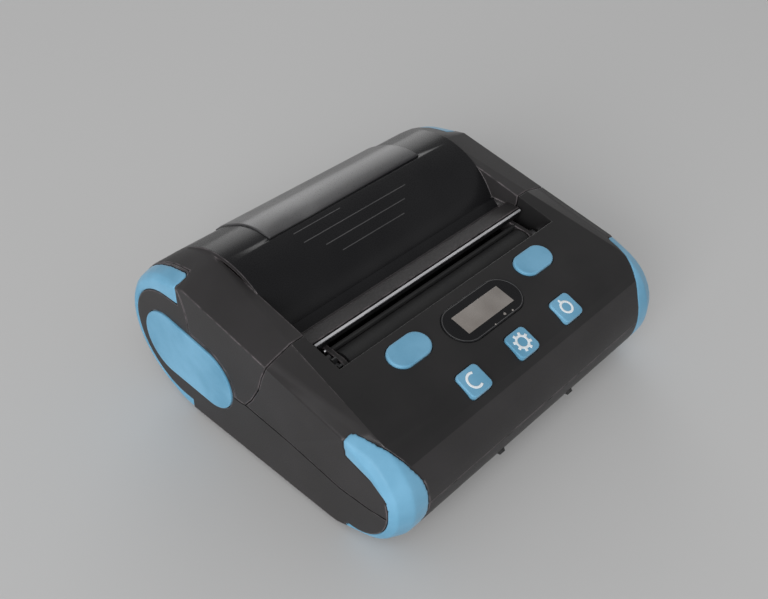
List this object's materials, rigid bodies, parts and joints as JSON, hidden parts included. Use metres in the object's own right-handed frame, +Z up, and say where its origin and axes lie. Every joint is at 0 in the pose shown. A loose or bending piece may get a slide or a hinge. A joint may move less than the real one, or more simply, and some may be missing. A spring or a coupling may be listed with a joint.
{
  "type": "portable thermal printer",
  "caption": "Portable thermal printer with a hinged roll cover, platen roller, tear bar, key deck with small display, and soft corner bumpers.",
  "frame": {"origin": "on the table under the middle of the printer's box", "axes": "+X to the printer's right, -Y to its rounded nose, +Y to the hinge side, +Z up"},
  "size_m": [0.1564, 0.1446, 0.0712],
  "materials": {
    "case_plastic": "fine moulded texture, satin black",
    "gloss_plastic": "glossy black",
    "window_plastic": "smoky translucent look, polished",
    "blue_rubber": "soft light blue elastomer",
    "steel": "bright steel",
    "black_rubber": "matte black rubber",
    "board_green": "green board",
    "battery_wrap": "wrapped pack",
    "brass": "brass",
    "aluminium": "cast aluminium",
    "gear_plastic": "dark acetal",
    "display_glass": "grey display glass"
  },
  "bodies": {
    "case": {"bottom_case": "case_plastic", "top_case": "case_plastic", "front_bumper_left": "blue_rubber", "front_bumper_right": "blue_rubber", "rear_bumper_left": "blue_rubber", "rear_bumper_right": "blue_rubber", "rubber_feet": "black_rubber", "case_screws": "steel", "display_window": "window_plastic", "display_module": "display_glass", "key_board": "board_green", "main_board": "board_green", "battery_pack": "battery_wrap", "battery_contacts": "brass", "chassis": "steel", "print_head": "aluminium", "head_heatsink": "aluminium", "head_pivot_pin": "steel", "head_springs": "steel", "idler_axle": "steel", "stepper_motor": "steel", "roll_tray": "case_plastic", "paper_sensor": "case_plastic", "cover_switch": "case_plastic", "hinge_pins": "steel", "usb_socket": "steel", "dc_socket": "case_plastic", "clip_inserts": "brass", "nose_studs": "black_rubber"},
    "cover": {"cover_shell": "gloss_plastic", "cover_window": "window_plastic", "tear_bar": "steel", "platen_bushes": "case_plastic"},
    "platen": {"platen_shaft": "steel", "platen_rubber": "black_rubber", "platen_gear": "gear_plastic"},
    "idler": {"idler_gear": "gear_plastic"},
    "motor_rotor": {"motor_pinion": "brass"},
    "feed_left": {"feed_button_left": "blue_rubber"},
    "feed_right": {"feed_button_right": "blue_rubber"},
    "key_l": {"key_left": "blue_rubber"},
    "key_m": {"key_middle": "blue_rubber"},
    "key_r": {"key_right": "blue_rubber"},
    "release_l": {"release_button_left": "blue_rubber", "release_spring_left": "steel"},
    "release_r": {"release_button_right": "blue_rubber", "release_spring_right": "steel"},
    "battery_door": {"battery_cover": "case_plastic"},
    "guide_l": {"paper_guide_left": "case_plastic"},
    "guide_r": {"paper_guide_right": "case_plastic"},
    "port_flap": {"port_cover": "black_rubber"}
  },
  "joints": [
    {"name": "cover_hinge", "type": "hinge", "parent": "case", "child": "cover", "pos_m": [0, 0.0625, 0.0485], "axis": [-1, 0, 0], "range_deg": [0, 85]},
    {"name": "platen_spin", "type": "hinge", "parent": "cover", "child": "platen", "pos_m": [0, -0.0205, 0.0445], "axis": [1, 0, 0], "continuous": true},
    {"name": "idler_spin", "type": "hinge", "parent": "case", "child": "idler", "pos_m": [-0.0556, -0.0205, 0.03025], "axis": [1, 0, 0], "continuous": true},
    {"name": "motor_spin", "type": "hinge", "parent": "case", "child": "motor_rotor", "pos_m": [-0.0556, -0.00978, 0.02246], "axis": [1, 0, 0], "continuous": true},
    {"name": "feed_left_press", "type": "slide", "parent": "case", "child": "feed_left", "axis": [0, 0.2284, -0.9736], "range_m": [0, 0.0008], "stiffness_N_per_m": 400, "springref_m": -0.0005},
    {"name": "feed_right_press", "type": "slide", "parent": "case", "child": "feed_right", "axis": [0, 0.2284, -0.9736], "range_m": [0, 0.0008], "stiffness_N_per_m": 400, "springref_m": -0.0005},
    {"name": "key_left_press", "type": "slide", "parent": "case", "child": "key_l", "axis": [0, 0.3746, -0.9272], "range_m": [0, 0.0008], "stiffness_N_per_m": 400, "springref_m": -0.0005},
    {"name": "key_middle_press", "type": "slide", "parent": "case", "child": "key_m", "axis": [0, 0.3746, -0.9272], "range_m": [0, 0.0008], "stiffness_N_per_m": 400, "springref_m": -0.0005},
    {"name": "key_right_press", "type": "slide", "parent": "case", "child": "key_r", "axis": [0, 0.3746, -0.9272], "range_m": [0, 0.0008], "stiffness_N_per_m": 400, "springref_m": -0.0005},
    {"name": "release_left_press", "type": "slide", "parent": "case", "child": "release_l", "axis": [1, 0, 0], "range_m": [0, 0.0012], "stiffness_N_per_m": 600, "springref_m": -0.0008},
    {"name": "release_right_press", "type": "slide", "parent": "case", "child": "release_r", "axis": [-1, 0, 0], "range_m": [0, 0.0012], "stiffness_N_per_m": 600, "springref_m": -0.0008},
    {"name": "battery_door_slide", "type": "slide", "parent": "case", "child": "battery_door", "axis": [0, -1, 0], "range_m": [0, 0.02]},
    {"name": "guide_left_slide", "type": "slide", "parent": "case", "child": "guide_l", "axis": [1, 0, 0], "range_m": [0, 0.02]},
    {"name": "guide_right_slide", "type": "slide", "parent": "case", "child": "guide_r", "axis": [-1, 0, 0], "range_m": [0, 0.02]},
    {"name": "port_flap_hinge", "type": "hinge", "parent": "case", "child": "port_flap", "pos_m": [0.0768, -0.035, 0.0115], "axis": [0, 0, -1], "range_deg": [0, 100]}
  ],
  "couplings": [
    {"joint": "idler_spin", "follows": "platen_spin", "ratio": -0.75},
    {"joint": "motor_spin", "follows": "platen_spin", "ratio": 1.2},
    {"joint": "guide_right_slide", "follows": "guide_left_slide", "ratio": 1}
  ]
}
